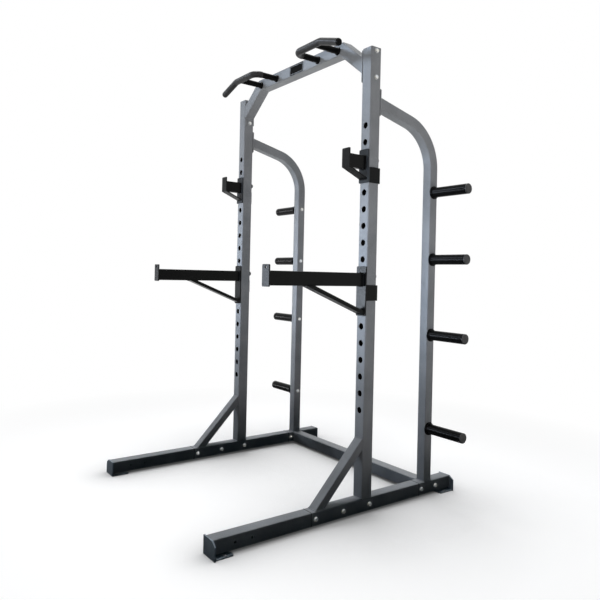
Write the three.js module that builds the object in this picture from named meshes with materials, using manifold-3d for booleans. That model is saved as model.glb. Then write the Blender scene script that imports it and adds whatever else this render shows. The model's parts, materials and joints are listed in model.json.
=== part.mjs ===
// Power rack. Two uprights with a column of pin holes stand on long base rails, and two bent
// posts behind them carry plate pegs. A cranked pull-up beam with two handles ties the top.
// A bar hook and a spotter arm hang on a pin in each upright and swing outwards about it.
// Millimetres, +Z up. The front is -Y, and right is +X. The origin is on the floor, midway.

import * as THREE from "three";
import { mergeVertices } from "three/addons/utils/BufferGeometryUtils.js";
import Module from "manifold-3d";

const wasm = await Module();
wasm.setup();

// Stance, measured from each upright's front face and from the top of the base rails
const sideSpan = 1078;
const groundGap = 12;
const frontReach = 741;
const rearReach = 591;
const frontJoint = 282;
const rearJoint = 371;

// Clearances
const seat = 0.3;
const slideGap = 0.3;
const jointGap = 1.6;
const overrun = 2;
const weldDepth = 1.2;

// Base rails, their legs and the sleeves that join them
const railSize = 60;
const railWall = 3;
const railCorner = 6;
const legSpigotLength = 352;
const stubSpigotShare = 0.664;
const spigotRoot = 34;
const spigotWall = 3;
const legHoleInset = 95;
const legHolePitch = 76;
const legHoleCount = 2;

// Bolts of the base, the beam and the pegs
const boltDiameter = 10;
const boltHoleDiameter = 11;
const boltHeadWidth = 17;
const boltHeadHeight = 6.5;
const nutHeight = 8;
const boltEnd = 3;
const frontBoltInset = 23;
const frontBoltPitch = 152.5;
const frontBoltCount = 3;
const rearBoltInset = 16;
const rearBoltPitchShare = 0.4545;
const rearBoltCount = 2;

// Feet: an end plate on each rail end, with a tab on the floor
const footThickness = 6;
const footInnerEdge = 36;
const footOuterEdge = 54;
const footChamferWidth = 24;
const footChamferHeight = 18;
const tabLength = 82;
const tabThickness = 5;
const tabOuterEdge = 48;
const tabCorner = 10;
const tabHoleDiameter = 12;
const tabHoleInset = 34;

// Uprights and their pin holes
const uprightSize = 60;
const uprightWall = 3;
const uprightCorner = 6;
const uprightHeight = 2015;
const pinHoleDiameter = 28;
const pinHolePitch = 75;
const lowestPinHole = 390;
const pinHoleTopMargin = 340;
const capHeight = 9;
const capWall = 2.5;

// Braces between rail and upright
const braceReach = 231.5;
const braceRise = 240;
const braceWidth = 50;
const braceDepth = 38;
const braceWall = 2.5;
const braceCorner = 4;

// Rear posts with their top plates
const postSize = 50;
const postWall = 2.5;
const postCorner = 5;
const postInset = 65;
const postBendRadius = 215;
const postSlope = THREE.MathUtils.degToRad(13.2);
const postArmDrop = 241;
const postPlateWidth = 60;
const postPlateHeight = 122;
const postPlateThickness = 6;
const postPlateCorner = 8;

// Cross-member between the rear stubs
const crossSize = 60;
const crossWall = 3;
const crossCorner = 6;
const crossInset = 65;

// Plate pegs
const pegHeightShares = [0.7914, 0.6074, 0.4002, 0.1432];
const pegDiameter = 48;
const pegWall = 3;
const pegReach = 208;
const pegEdge = 3;
const pegCapThickness = 5;
const pegFlangeDiameter = 62;
const pegFlangeThickness = 5;

// Pull-up beam
const beamSize = 60;
const beamWall = 3;
const beamCorner = 6;
const beamRise = 47;
const beamHalfStraight = 356;
const beamSlope = THREE.MathUtils.degToRad(38.5);
const beamPlateThickness = 5;
const beamPlateHeight = 147;
const beamPlateDrop = 76;
const beamPlateCorner = 6;
const beamBoltSpacing = 118;
const beamVentDiameter = 14;

// Pull-up handles
const handleDiameter = 30;
const handleBore = 25;
const handleDrop = 6;
const handleReach = 139;
const handleInner = 181.5;
const handleStub = 334;
const handleOuter = 376;
const handleTipRun = 131;
const handleTipFall = 42;
const handleInnerBendRadius = 42;
const handleOuterBendRadius = 70;
const collarDiameter = 38;
const collarLength = 9;
const handleCapThickness = 3;
const handlePlugLength = 14;

// Hook bracket that the bar hooks and the spotter arms share, from the pin axis
const pinDiameter = 25;
const pinTail = 20;
const pinTaper = 4;
const bracketWidth = 60;
const bracketThickness = 6;
const bracketCorner = 6;
const wrapTop = 40;
const wrapBottom = 109;
const wrapThickness = 5;
const wrapReturn = 50;
const wrapCorner = 6;
const wrapLap = 14;

// Bar hooks
const holesAboveHookCount = 2;
const hookPlateAbove = 42;
const hookPlateBelow = 109;
const hookArmWidth = 30;
const hookArmTop = 12;
const hookArmHeight = 61;
const hookReach = 112;
const hookLipThickness = 5;
const hookLipWidth = 50;
const hookLipHeight = 80;
const hookLipBelow = 46;
const hookStrapWidth = 50;
const hookStrapThickness = 6;
const hookStrapDrop = 90;

// Spotter arms
const holesBelowSpotterCount = 8;
const spotterPlateAbove = 44;
const spotterPlateBelow = 178;
const spotterArmWidth = 30;
const spotterArmTop = 14.5;
const spotterArmHeight = 60;
const spotterReach = 517;
const spotterEndThickness = 6;
const spotterEndWidth = 50;
const spotterEndHeight = 90;
const spotterEndBelow = 50.5;
const spotterEndHoleDiameter = 12;
const spotterEndHoleHeight = 28;
const spotterBraceWidth = 50;
const spotterBraceDepth = 17;
const spotterBraceDrop = 163;
const spotterBraceReach = 305;
const hookTubeWall = 3;
const hookTubeCorner = 4;
const hookVentDiameter = 8;
const hookVentInset = 26;

// Facets: steps in a quarter round, and sides of round pieces
const quarterSteps = 2;
const boreQuarterSteps = 1;
const postBendSteps = 5;
const handleBendSteps = 3;
const pinHoleSides = 10;
const openHoleSides = 8;
const boltHoleSides = 6;
const hexagonSides = 6;
const pegSides = 12;
const handleSides = 12;
const boreSides = 6;
const pinSides = 12;

// Places worked out from the sizes above
const uprightFront = (frontReach - rearReach) / 2;
const railTop = groundGap + railSize;
const stubLength = rearReach - rearJoint;
const stubSpigotLength = stubSpigotShare * stubLength;
const rearBoltPitch = rearBoltPitchShare * stubLength;
const postSetback = rearJoint + postInset;
const crossSetback = rearJoint + crossInset;
const railMiddle = -railSize / 2;
const uprightMiddle = uprightSize / 2;
const postPlateRear = uprightSize + seat + postPlateThickness;
const pinHoleRun = uprightHeight - pinHoleTopMargin - lowestPinHole;
const pinHoleCount = Math.floor(pinHoleRun / pinHolePitch) + 1;
const pinHeights = row(lowestPinHole, pinHolePitch, pinHoleCount);
const postArmHeight = uprightHeight - postArmDrop;
const pegHeights = pegHeightShares.map((share) => share * postArmHeight);
const beamHeight = uprightHeight + beamRise;
const beamPlateCentre = uprightHeight - beamPlateDrop;
const spigotSize = railSize - 2 * railWall - 2 * slideGap;
const beamPlateInside = sideSpan / 2 - uprightSize / 2 - seat - beamPlateThickness;
const beamArmHeight = beamHeight - Math.tan(beamSlope) * (beamPlateInside - beamHalfStraight);
const handleHeight = beamHeight - handleDrop;
const bracketFront = -seat - bracketThickness;
const beamBoltHeights = [-1, 1].map((turn) => beamPlateCentre + turn * beamBoltSpacing / 2);
const frontBolts = row(-frontJoint + frontBoltInset, frontBoltPitch, frontBoltCount);
const rearBolts = row(rearJoint + rearBoltInset, rearBoltPitch, rearBoltCount);
const legHoles = row(-frontReach + legHoleInset, legHolePitch, legHoleCount);

function row(first, pitch, count) {
  return Array.from({ length: count }, (_, step) => first + pitch * step);
}

function at(x, y, z) {
  return new THREE.Vector3(x, y, z);
}

const alongX = at(1, 0, 0);
const alongY = at(0, 1, 0);
const alongZ = at(0, 0, 1);

// A closed geometry becomes a solid: its points are shared, its flat slivers dropped, and
// its faces are turned over if they point inwards.
function solid(geometry) {
  const bare = geometry.clone();
  bare.deleteAttribute("normal");
  bare.deleteAttribute("uv");
  const merged = mergeVertices(bare);
  const places = merged.attributes.position.array;
  const corners = merged.index.array;
  const kept = [];
  for (let i = 0; i < corners.length; i += 3) {
    const [a, b, c] = [corners[i], corners[i + 1], corners[i + 2]];
    if (a !== b && b !== c && c !== a) kept.push(a, b, c);
  }
  if (signedVolume(places, kept) < 0) {
    kept.reverse();
  }
  const mesh = new wasm.Mesh({
    numProp: 3,
    vertProperties: Float32Array.from(places),
    triVerts: Uint32Array.from(kept),
  });
  return new wasm.Manifold(mesh);
}

function signedVolume(places, corners) {
  let volume = 0;
  const [a, b, c] = [at(0, 0, 0), at(0, 0, 0), at(0, 0, 0)];
  for (let i = 0; i < corners.length; i += 3) {
    a.fromArray(places, 3 * corners[i]);
    b.fromArray(places, 3 * corners[i + 1]);
    c.fromArray(places, 3 * corners[i + 2]);
    volume += a.dot(b.cross(c));
  }
  return volume;
}

// The finished geometry of a solid, with flat faces shaded flat
function skin(shape) {
  const mesh = shape.getMesh();
  const geometry = new THREE.BufferGeometry();
  const places = Float32Array.from(mesh.vertProperties);
  geometry.setAttribute("position", new THREE.BufferAttribute(places, 3));
  geometry.setIndex(Array.from(mesh.triVerts));
  geometry.computeVertexNormals();
  return geometry;
}

// The same geometry seen in a mirror that stands on the plane between left and right
function mirrored(geometry) {
  const copy = geometry.clone();
  copy.scale(-1, 1, 1);
  copy.setIndex(Array.from(geometry.index.array).reverse());
  copy.computeVertexNormals();
  return copy;
}

// Outlines
function rectangle(width, depth, corner, steps = quarterSteps) {
  const points = [];
  const centres = [[1, 1], [-1, 1], [-1, -1], [1, -1]];
  centres.forEach(([u, v], quarter) => {
    for (let step = 0; step <= steps; step += 1) {
      const turn = (quarter + step / steps) * Math.PI / 2;
      const x = u * (width / 2 - corner) + corner * Math.cos(turn);
      const y = v * (depth / 2 - corner) + corner * Math.sin(turn);
      points.push(new THREE.Vector2(x, y));
    }
  });
  return points;
}

function circle(diameter, sides) {
  const points = [];
  for (let step = 0; step < sides; step += 1) {
    const turn = 2 * Math.PI * (step + 1 / 2) / sides;
    points.push(new THREE.Vector2(Math.cos(turn), Math.sin(turn)).multiplyScalar(diameter / 2));
  }
  return points;
}

// A path with each inner corner rounded to a radius
function bent(path, radii, steps) {
  const points = [path[0]];
  for (let i = 1; i < path.length - 1; i += 1) {
    const inward = path[i].clone().sub(path[i - 1]).normalize();
    const outward = path[i + 1].clone().sub(path[i]).normalize();
    const turn = inward.angleTo(outward);
    const radius = radii[i - 1];
    const start = path[i].clone().addScaledVector(inward, -radius * Math.tan(turn / 2));
    const toCentre = outward.clone().addScaledVector(inward, -inward.dot(outward)).normalize();
    const centre = start.clone().addScaledVector(toCentre, radius);
    for (let step = 0; step <= steps; step += 1) {
      const angle = turn * step / steps;
      const point = centre.clone().addScaledVector(toCentre, -radius * Math.cos(angle));
      points.push(point.addScaledVector(inward, radius * Math.sin(angle)));
    }
  }
  points.push(path[path.length - 1]);
  return points;
}

// Sweeps a convex outline along straight legs. Each corner is mitred on its bisecting plane,
// and each end is cut by its own plane, square to the leg unless another normal is given.
function sweep(outline, path, across, startCut, endCut) {
  const legs = path.slice(1).map((point, i) => point.clone().sub(path[i]).normalize());
  const up = legs[0].clone().cross(across).normalize();
  const places = [];
  let ring = outline.map((point) => path[0].clone()
    .addScaledVector(across, point.x).addScaledVector(up, point.y));
  path.forEach((point, i) => {
    const before = legs[Math.max(i - 1, 0)];
    const after = legs[Math.min(i, legs.length - 1)];
    let normal = before.clone().add(after).normalize();
    if (i === 0 && startCut) normal = startCut;
    if (i === path.length - 1 && endCut) normal = endCut;
    ring = ring.map((corner) => {
      const short = point.clone().sub(corner).dot(normal) / before.dot(normal);
      return corner.clone().addScaledVector(before, short);
    });
    ring.forEach((corner) => places.push(corner.x, corner.y, corner.z));
  });
  return solid(stitched(places, outline.length, path.length));
}

function stitched(places, sides, rings) {
  const faces = [];
  for (let ring = 0; ring < rings - 1; ring += 1) {
    for (let side = 0; side < sides; side += 1) {
      const a = ring * sides + side;
      const b = ring * sides + (side + 1) % sides;
      faces.push(a, b, b + sides, a, b + sides, a + sides);
    }
  }
  const last = (rings - 1) * sides;
  for (let side = 1; side < sides - 1; side += 1) {
    faces.push(0, side + 1, side, last, last + side, last + side + 1);
  }
  const geometry = new THREE.BufferGeometry();
  geometry.setAttribute("position", new THREE.Float32BufferAttribute(places, 3));
  geometry.setIndex(faces);
  return geometry;
}

// A path whose two ends run on by the overrun, for a bore that leaves the tube
function extended(path, startBy, endBy) {
  const points = path.map((point) => point.clone());
  const first = path[0].clone().sub(path[1]).normalize();
  const last = path[path.length - 1].clone().sub(path[path.length - 2]).normalize();
  points[0].addScaledVector(first, startBy);
  points[points.length - 1].addScaledVector(last, endBy);
  return points;
}

// The bore of a rectangular tube, square to its walls
function boreOutline({ width, depth, wall, corner }) {
  const inside = Math.max(corner - wall, wall / 2);
  return rectangle(width - 2 * wall, depth - 2 * wall, inside, boreQuarterSteps);
}

// A rectangular tube with rounded edges, open at both ends
function tube(size, path, across, startCut, endCut) {
  const outline = rectangle(size.width, size.depth, size.corner, size.steps);
  const outer = sweep(outline, path, across, startCut, endCut);
  const bore = extended(path, overrun, overrun);
  return outer.subtract(sweep(boreOutline(size), bore, across, startCut, endCut));
}

function square(size, wall, corner) {
  return { width: size, depth: size, wall, corner };
}

// A round bar or drill between two points
function rod(diameter, sides, start, end) {
  const leg = end.clone().sub(start).normalize();
  const across = Math.abs(leg.x) > Math.abs(leg.z) ? alongZ.clone() : alongX.clone();
  across.addScaledVector(leg, -across.dot(leg)).normalize();
  return sweep(circle(diameter, sides), [start, end], across);
}

// A turned piece about the X axis, from pairs of distance along it and radius
function turned(profile, sides) {
  const points = profile.map(([along, radius]) => new THREE.Vector2(radius, along));
  const geometry = new THREE.LatheGeometry(points, sides);
  geometry.rotateZ(-Math.PI / 2);
  return geometry;
}

// A plate: an outline in X and Z, given thickness along Y between two faces
function plate(shape, front, rear) {
  const geometry = new THREE.ExtrudeGeometry(shape, {
    depth: rear - front,
    bevelEnabled: false,
    curveSegments: quarterSteps,
  });
  geometry.rotateX(Math.PI / 2);
  geometry.translate(0, rear, 0);
  return solid(geometry);
}

function roundedShape(left, right, bottom, top, corner) {
  const shape = new THREE.Shape();
  shape.moveTo(left + corner, bottom);
  shape.lineTo(right - corner, bottom);
  shape.absarc(right - corner, bottom + corner, corner, -Math.PI / 2, 0);
  shape.lineTo(right, top - corner);
  shape.absarc(right - corner, top - corner, corner, 0, Math.PI / 2);
  shape.lineTo(left + corner, top);
  shape.absarc(left + corner, top - corner, corner, Math.PI / 2, Math.PI);
  shape.lineTo(left, bottom + corner);
  shape.absarc(left + corner, bottom + corner, corner, Math.PI, 3 * Math.PI / 2);
  return shape;
}

// Holes for bolts across a tube, along X
function acrossHoles(size, places, sides = boltHoleSides) {
  const reach = size / 2 + overrun;
  const drills = places.map(([y, z]) => (
    rod(boltHoleDiameter, sides, at(-reach, y, z), at(reach, y, z))));
  return drills.reduce((all, drill) => all.add(drill));
}

// Base
const rail = square(railSize, railWall, railCorner);
const spigot = {
  ...square(spigotSize, spigotWall, railCorner - railWall),
  steps: boreQuarterSteps,
};
const spigotCollar = {
  ...square(railSize - railWall, (railSize - railWall - spigotSize) / 2 + spigotWall, railCorner),
  steps: boreQuarterSteps,
};

function alongRail(size, from, to) {
  return tube(size, [at(0, from, railMiddle), at(0, to, railMiddle)], alongX);
}

function railHoles(places, sides) {
  return acrossHoles(railSize, places.map((y) => [y, railMiddle]), sides);
}

function baseRail() {
  const rearEnd = rearJoint - jointGap / 2;
  return alongRail(rail, -frontJoint + jointGap / 2, rearEnd)
    .add(alongRail(spigotCollar, rearEnd - spigotRoot, rearEnd - jointGap))
    .add(alongRail(spigot, rearEnd - spigotRoot, rearEnd + stubSpigotLength))
    .subtract(railHoles([...frontBolts, ...rearBolts]));
}

function frontLeg() {
  const rearEnd = -frontJoint - jointGap / 2;
  return alongRail(rail, -frontReach + seat, rearEnd)
    .add(alongRail(spigotCollar, rearEnd - spigotRoot, rearEnd - jointGap))
    .add(alongRail(spigot, rearEnd - spigotRoot, rearEnd + legSpigotLength))
    .subtract(railHoles(frontBolts))
    .subtract(railHoles(legHoles, openHoleSides));
}

function rearStub() {
  return alongRail(rail, rearJoint + jointGap / 2, rearReach - seat)
    .subtract(railHoles(rearBolts));
}

// A foot stands with its plate's inner face on the zero plane and its tab towards +Y
function foot() {
  const shape = new THREE.Shape();
  shape.moveTo(-footInnerEdge, -railTop);
  shape.lineTo(footOuterEdge, -railTop);
  shape.lineTo(footOuterEdge, -footChamferHeight);
  shape.lineTo(footOuterEdge - footChamferWidth, 0);
  shape.lineTo(-footInnerEdge, 0);
  const tab = roundedShape(-footInnerEdge, tabOuterEdge, -weldDepth, tabLength, tabCorner);
  const geometry = new THREE.ExtrudeGeometry(tab, {
    depth: tabThickness,
    bevelEnabled: false,
    curveSegments: quarterSteps,
  });
  geometry.translate(0, 0, -railTop);
  const filler = new THREE.BoxGeometry(
    footInnerEdge + tabOuterEdge, weldDepth + tabCorner, tabThickness);
  filler.translate((tabOuterEdge - footInnerEdge) / 2, (tabCorner - weldDepth) / 2,
    tabThickness / 2 - railTop);
  const holeX = (railSize / 2 + tabOuterEdge) / 2;
  const hole = rod(tabHoleDiameter, openHoleSides,
    at(holeX, tabLength - tabHoleInset, -railTop - overrun),
    at(holeX, tabLength - tabHoleInset, tabThickness + overrun - railTop));
  return plate(shape, -footThickness, 0).add(solid(geometry)).add(solid(filler)).subtract(hole);
}

function turnedFoot() {
  const geometry = skin(foot());
  geometry.scale(1, -1, 1);
  geometry.setIndex(Array.from(geometry.index.array).reverse());
  return geometry;
}

function brace() {
  const size = { width: braceWidth, depth: braceDepth, wall: braceWall, corner: braceCorner };
  const path = [at(0, -braceReach, seat), at(0, -seat, braceRise)];
  return tube(size, path, alongX, alongZ, alongY);
}

function crossMember() {
  const end = sideSpan / 2 - railSize / 2 - seat;
  const size = square(crossSize, crossWall, crossCorner);
  const height = -crossSize / 2;
  return tube(size, [at(-end, crossSetback, height), at(end, crossSetback, height)], alongZ);
}

// Uprights
function upright() {
  const size = square(uprightSize, uprightWall, uprightCorner);
  const path = [at(0, uprightMiddle, seat), at(0, uprightMiddle, uprightHeight)];
  const pins = pinHeights.map((z) => (
    rod(pinHoleDiameter, pinHoleSides, at(0, -overrun, z), at(0, uprightSize + overrun, z))));
  const bolts = acrossHoles(uprightSize, beamBoltHeights.map((z) => [uprightMiddle, z]));
  const drills = pins.reduce((all, drill) => all.add(drill), bolts);
  return tube(size, path, alongX).subtract(drills);
}

function uprightCap() {
  const size = uprightSize - 2 * uprightWall - 2 * seat;
  const corner = uprightCorner - uprightWall;
  const inner = size - 2 * capWall;
  const top = at(0, uprightMiddle, uprightHeight);
  const bottom = at(0, uprightMiddle, uprightHeight - capHeight);
  const under = at(0, uprightMiddle, uprightHeight - capHeight - overrun);
  const roof = at(0, uprightMiddle, uprightHeight - capWall);
  const skirt = rectangle(size, size, corner, boreQuarterSteps);
  const hollow = rectangle(inner, inner, corner / 2, boreQuarterSteps);
  return sweep(skirt, [bottom, top], alongX).subtract(sweep(hollow, [under, roof], alongX));
}

// Rear posts
function rearPost() {
  const corner = postArmHeight - Math.tan(postSlope) * (postSetback - postPlateRear);
  const line = [
    at(0, postSetback, seat),
    at(0, postSetback, corner),
    at(0, postPlateRear - weldDepth, postArmHeight),
  ];
  const path = bent(line, [postBendRadius], postBendSteps);
  const size = square(postSize, postWall, postCorner);
  const post = sweep(rectangle(postSize, postSize, postCorner), path, alongX, alongZ, alongY);
  const bore = sweep(boreOutline(size), extended(path, overrun, 0), alongX, alongZ, alongY);
  const half = postPlateWidth / 2;
  const topPlate = roundedShape(-half, half, postArmHeight - postPlateHeight / 2,
    postArmHeight + postPlateHeight / 2, postPlateCorner);
  const holes = acrossHoles(postSize, pegHeights.map((z) => [postSetback, z]));
  return post.subtract(bore)
    .add(plate(topPlate, uprightSize + seat, postPlateRear))
    .subtract(holes);
}

// A plate peg points along +X from the face that it stands on. Its bolt enters by the flange.
function platePeg() {
  const outer = pegDiameter / 2;
  const bore = rod(pegDiameter - 2 * pegWall, boreSides,
    at(pegFlangeThickness, 0, 0), at(pegReach - pegCapThickness, 0, 0));
  const throat = rod(boltHoleDiameter, boltHoleSides,
    at(seat - overrun, 0, 0), at(pegFlangeThickness + overrun, 0, 0));
  return solid(turned([
    [seat, 0],
    [seat, pegFlangeDiameter / 2],
    [pegFlangeThickness, pegFlangeDiameter / 2],
    [pegFlangeThickness, outer],
    [pegReach - pegEdge, outer],
    [pegReach, outer - pegEdge],
    [pegReach, 0],
  ], pegSides)).subtract(bore).subtract(throat);
}

// Bolts lie along X, head at the start, and a nut near the end where there is one
function hexagon(from, to) {
  const acrossCorners = boltHeadWidth / Math.cos(Math.PI / hexagonSides);
  return rod(acrossCorners, hexagonSides, at(from, 0, 0), at(to, 0, 0));
}

function pegBolt() {
  const face = -postSize / 2 - seat;
  const end = postSize / 2 + pegFlangeThickness;
  return hexagon(face - boltHeadHeight, face)
    .add(rod(boltDiameter, boltHoleSides, at(face - weldDepth, 0, 0), at(end, 0, 0)));
}

function throughBolt(headFace, nutFace) {
  const end = nutFace - nutHeight - boltEnd;
  return hexagon(headFace, headFace + boltHeadHeight)
    .add(rod(boltDiameter, boltHoleSides, at(end, 0, 0), at(headFace + weldDepth, 0, 0)))
    .add(hexagon(nutFace - nutHeight, nutFace));
}

function railBolt() {
  return throughBolt(railSize / 2 + seat, -railSize / 2 - seat);
}

function beamBolt() {
  const plateFace = -uprightSize / 2 - beamPlateThickness - 2 * seat;
  return throughBolt(uprightSize / 2 + seat, plateFace);
}

// Pull-up beam
function pullupBeam() {
  const ends = [-1, 1].map((turn) => (
    at(turn * (beamPlateInside + weldDepth), uprightMiddle,
      beamArmHeight - Math.tan(beamSlope) * weldDepth)));
  const knees = [-1, 1].map((turn) => at(turn * beamHalfStraight, uprightMiddle, beamHeight));
  const path = [ends[0], knees[0], knees[1], ends[1]];
  const size = square(beamSize, beamWall, beamCorner);
  const outer = sweep(rectangle(beamSize, beamSize, beamCorner), path, alongY, alongX, alongX);
  let beam = outer.subtract(sweep(boreOutline(size), path, alongY, alongX, alongX));
  for (const side of [-1, 1]) {
    const inside = side * beamPlateInside;
    const outside = side * (beamPlateInside + beamPlateThickness);
    const outline = rectangle(uprightSize, beamPlateHeight, beamPlateCorner);
    const faces = [inside, outside].map((x) => at(x, uprightMiddle, beamPlateCentre));
    beam = beam.add(sweep(outline, faces, alongY));
    const holes = beamBoltHeights.map((z) => [z, boltHoleDiameter]);
    holes.push([beamArmHeight, beamVentDiameter]);
    for (const [z, diameter] of holes) {
      const start = at(inside - side * overrun, uprightMiddle, z);
      const end = at(outside + side * overrun, uprightMiddle, z);
      beam = beam.subtract(rod(diameter, boltHoleSides, start, end));
    }
  }
  return beam;
}

// Pull-up handles
function handleLine() {
  return [
    at(handleInner, -seat, handleHeight),
    at(handleInner, -handleReach, handleHeight),
    at(handleOuter, -handleReach, handleHeight),
    at(handleOuter + handleTipRun, -handleReach, handleHeight - handleTipFall),
  ];
}

function pullupHandle() {
  const bends = [handleInnerBendRadius, handleOuterBendRadius];
  const path = bent(handleLine(), bends, handleBendSteps);
  const foot = at(handleStub, -seat, handleHeight);
  const head = at(handleStub, -handleReach, handleHeight);
  const bar = sweep(circle(handleDiameter, handleSides), path, alongX)
    .add(rod(handleDiameter, handleSides, foot, head));
  const bore = sweep(circle(handleBore, boreSides), extended(path, overrun, overrun), alongX)
    .add(rod(handleBore, boreSides, foot.clone().add(at(0, overrun, 0)), head));
  let handle = bar;
  for (const x of [handleInner, handleStub]) {
    const geometry = turned([
      [seat, 0],
      [seat, collarDiameter / 2],
      [collarLength, handleDiameter / 2],
      [collarLength, 0],
    ], handleSides);
    geometry.rotateZ(-Math.PI / 2);
    geometry.translate(x, 0, handleHeight);
    handle = handle.add(solid(geometry));
  }
  return handle.subtract(bore);
}

function handleCap() {
  const geometry = turned([
    [-handlePlugLength, 0],
    [-handlePlugLength, handleBore * Math.cos(Math.PI / boreSides) / 2 - seat],
    [seat, handleBore * Math.cos(Math.PI / boreSides) / 2 - seat],
    [seat, handleDiameter / 2],
    [handleCapThickness, handleDiameter / 2],
    [handleCapThickness, 0],
  ], handleSides);
  return solid(geometry);
}

// Hook bracket: pin, back plate and a wrap round the outer side, about the pin axis
function hookBracket(above, below) {
  const half = bracketWidth / 2;
  const back = roundedShape(-half, half, -below, above, bracketCorner);
  const pinStart = -seat - weldDepth;
  const pinLength = uprightSize + pinTail - pinStart;
  const pin = turned([
    [0, 0],
    [0, pinDiameter / 2],
    [pinLength - pinTaper, pinDiameter / 2],
    [pinLength, pinDiameter / 2 - pinTaper],
    [pinLength, 0],
  ], pinSides);
  pin.rotateZ(Math.PI / 2);
  pin.translate(0, pinStart, 0);
  return plate(back, bracketFront, -seat).add(solid(pin)).add(wrap());
}

// The wrap is a channel seen from above: lapped on the back plate, along the outer side of the
// upright, and returned behind it
function wrap() {
  const inner = uprightSize / 2 + seat;
  const outer = inner + wrapThickness;
  const rear = uprightSize + seat + wrapThickness;
  const shape = new THREE.Shape();
  shape.moveTo(inner - wrapLap, bracketFront);
  shape.lineTo(outer - wrapCorner, bracketFront);
  shape.absarc(outer - wrapCorner, bracketFront + wrapCorner, wrapCorner, -Math.PI / 2, 0);
  shape.lineTo(outer, rear - wrapCorner);
  shape.absarc(outer - wrapCorner, rear - wrapCorner, wrapCorner, 0, Math.PI / 2);
  shape.lineTo(outer - wrapThickness - wrapReturn, rear);
  shape.lineTo(outer - wrapThickness - wrapReturn, rear - wrapThickness);
  shape.lineTo(inner, rear - wrapThickness);
  shape.lineTo(inner, -seat);
  shape.lineTo(inner - wrapLap, -seat);
  const geometry = new THREE.ExtrudeGeometry(shape, {
    depth: wrapBottom - wrapTop,
    bevelEnabled: false,
    curveSegments: quarterSteps,
  });
  geometry.translate(0, 0, -wrapBottom);
  return solid(geometry);
}

function hookTube(width, top, height, reach) {
  const size = { width, depth: height, wall: hookTubeWall, corner: hookTubeCorner };
  const middle = top - height / 2;
  const path = [at(0, -reach, middle), at(0, bracketFront + weldDepth, middle)];
  const vent = rod(hookVentDiameter, openHoleSides,
    at(0, bracketFront - hookVentInset, top - height - overrun),
    at(0, bracketFront - hookVentInset, middle));
  return sweep(rectangle(width, height, hookTubeCorner), path, alongX)
    .subtract(sweep(boreOutline(size), path, alongX))
    .subtract(vent);
}

function barHook() {
  const lipRear = -hookReach + hookLipThickness;
  const half = hookLipWidth / 2;
  const lipTop = hookLipHeight - hookLipBelow;
  const lip = roundedShape(-half, half, -hookLipBelow, lipTop, hookLipThickness);
  const strapTop = -hookLipBelow;
  const strap = sweep(rectangle(hookStrapWidth, hookStrapThickness, hookStrapThickness / 4), [
    at(0, -hookReach, strapTop),
    at(0, bracketFront + weldDepth, -hookStrapDrop),
  ], alongX, alongY, alongY);
  return hookBracket(hookPlateAbove, hookPlateBelow)
    .add(plate(lip, -hookReach, lipRear))
    .add(hookTube(hookArmWidth, hookArmTop, hookArmHeight, -lipRear + weldDepth))
    .add(strap);
}

function spotterArm() {
  const endRear = -spotterReach + spotterEndThickness;
  const half = spotterEndWidth / 2;
  const endTop = spotterEndHeight - spotterEndBelow;
  const end = roundedShape(-half, half, -spotterEndBelow, endTop, spotterEndThickness);
  const hole = rod(spotterEndHoleDiameter, openHoleSides,
    at(0, -spotterReach - overrun, spotterEndHoleHeight),
    at(0, endRear + overrun, spotterEndHoleHeight));
  const underside = spotterArmTop - spotterArmHeight;
  const braceSize = {
    width: spotterBraceWidth,
    depth: spotterBraceDepth,
    wall: hookTubeWall,
    corner: hookTubeCorner,
  };
  const strut = tube(braceSize, [
    at(0, -spotterBraceReach, underside + weldDepth),
    at(0, bracketFront + weldDepth, -spotterBraceDrop),
  ], alongX, alongZ, alongY);
  return hookBracket(spotterPlateAbove, spotterPlateBelow)
    .add(hookTube(spotterArmWidth, spotterArmTop, spotterArmHeight, -endRear + weldDepth))
    .add(strut)
    .add(plate(end, -spotterReach, endRear).subtract(hole));
}

// Finishes
function finish(color, roughness, metalness) {
  return () => new THREE.MeshStandardMaterial({ color, roughness, metalness });
}

const greyCoat = finish(0x85868b, 0.45, 0.35);
const darkCoat = finish(0x23262a, 0.5, 0.2);
const zinc = finish(0xc8cacc, 0.3, 0.9);
const blackPlastic = finish(0x18191a, 0.6, 0);

// Assembly: a group for each side stands on its rail, at the front face of its upright
const rack = new THREE.Group();
const middle = new THREE.Group();
middle.position.set(0, uprightFront, railTop);
const sides = [1, -1].map((turn) => {
  const group = new THREE.Group();
  group.position.set(turn * sideSpan / 2, uprightFront, railTop);
  return { turn, name: turn > 0 ? "right" : "left", group };
});
rack.add(middle, ...sides.map((side) => side.group));

function addMesh(group, name, geometry, coat) {
  const mesh = new THREE.Mesh(geometry, coat());
  mesh.name = name;
  group.add(mesh);
  return mesh;
}

function addPair(name, geometry, coat, x = 0, y = 0, z = 0) {
  return sides.map((side) => {
    const own = side.turn > 0 ? geometry.clone() : mirrored(geometry);
    const mesh = addMesh(side.group, `${side.name}_${name}`, own, coat);
    mesh.position.set(side.turn * x, y, z);
    return mesh;
  });
}

addPair("upright", skin(upright()), greyCoat);
addPair("upright_cap", skin(uprightCap()), blackPlastic);
addPair("base_rail", skin(baseRail()), greyCoat);
addPair("front_leg", skin(frontLeg()), greyCoat);
addPair("rear_stub", skin(rearStub()), greyCoat);
addPair("brace", skin(brace()), greyCoat);
addPair("rear_post", skin(rearPost()), greyCoat);
addPair("front_foot", skin(foot()), greyCoat, 0, -frontReach);
addPair("rear_foot", turnedFoot(), greyCoat, 0, rearReach);
addMesh(middle, "rear_crossmember", skin(crossMember()), greyCoat);
addMesh(middle, "pullup_beam", skin(pullupBeam()), greyCoat);

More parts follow.
